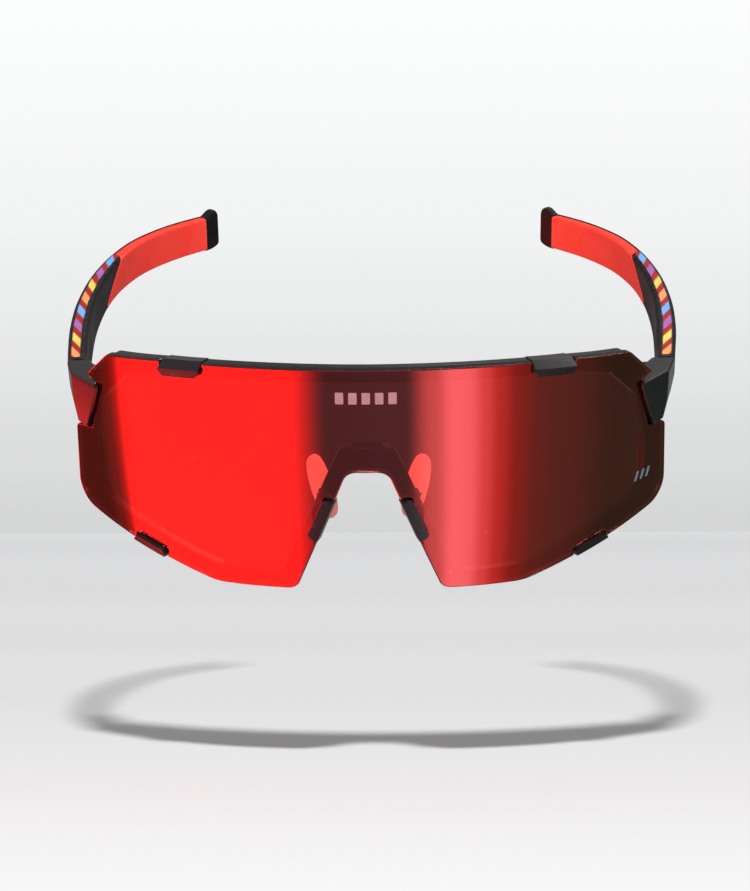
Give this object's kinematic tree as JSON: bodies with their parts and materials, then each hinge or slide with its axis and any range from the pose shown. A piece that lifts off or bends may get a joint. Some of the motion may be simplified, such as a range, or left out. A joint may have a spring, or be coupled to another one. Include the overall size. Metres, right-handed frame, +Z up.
{
  "type": "wraparound sport sunglasses",
  "caption": "Wraparound sport sunglasses: mirrored shield lens hooked on a full rim, clip-in nose bracket with soft pads, and folding temple arms with rubber grips.",
  "frame": {"origin": "centre of the bounding box, on the table plane that the rim's lower corners and the two temple tips rest on", "axes": "+X to the wearer's left, the viewer's right; +Y back along the temples; +Z up; temples open at rest"},
  "size_m": [0.1528, 0.1588, 0.0602],
  "materials": {
    "lens": "red mirror coating on tinted polycarbonate",
    "frame": "satin black moulded nylon",
    "bracket": "matt black moulding",
    "pad": "soft matt red",
    "arm": "satin black moulded nylon",
    "strip": "film printed with slanted coloured stripes",
    "grip": "soft matt red",
    "tip": "matt black",
    "steel": "turned",
    "brass": "turned",
    "nylon": "natural nylon"
  },
  "bodies": {
    "front": {"lens": "lens", "front_frame": "frame", "nose_bracket": "bracket", "nose_pad_left": "pad", "nose_pad_right": "pad", "hinge_screw_left": "steel", "hinge_screw_right": "steel", "threaded_insert_left": "brass", "threaded_insert_right": "brass", "upper_washer_left": "nylon", "upper_washer_right": "nylon", "lower_washer_left": "nylon", "lower_washer_right": "nylon"},
    "left_temple": {"temple_arm_left": "arm", "hinge_sleeve_left": "nylon", "stripe_strip_left": "strip", "temple_grip_left": "grip", "temple_tip_left": "tip"},
    "right_temple": {"temple_arm_right": "arm", "hinge_sleeve_right": "nylon", "stripe_strip_right": "strip", "temple_grip_right": "grip", "temple_tip_right": "tip"}
  },
  "joints": [
    {"name": "left_temple_hinge", "type": "hinge", "parent": "front", "child": "left_temple", "pos_m": [0.0666, -0.03582, 0.02885], "axis": [0, 0.2248, 0.9744], "range_deg": [0, 88]},
    {"name": "right_temple_hinge", "type": "hinge", "parent": "front", "child": "right_temple", "pos_m": [-0.0666, -0.03582, 0.02885], "axis": [0, -0.2248, -0.9744], "range_deg": [0, 72]}
  ]
}
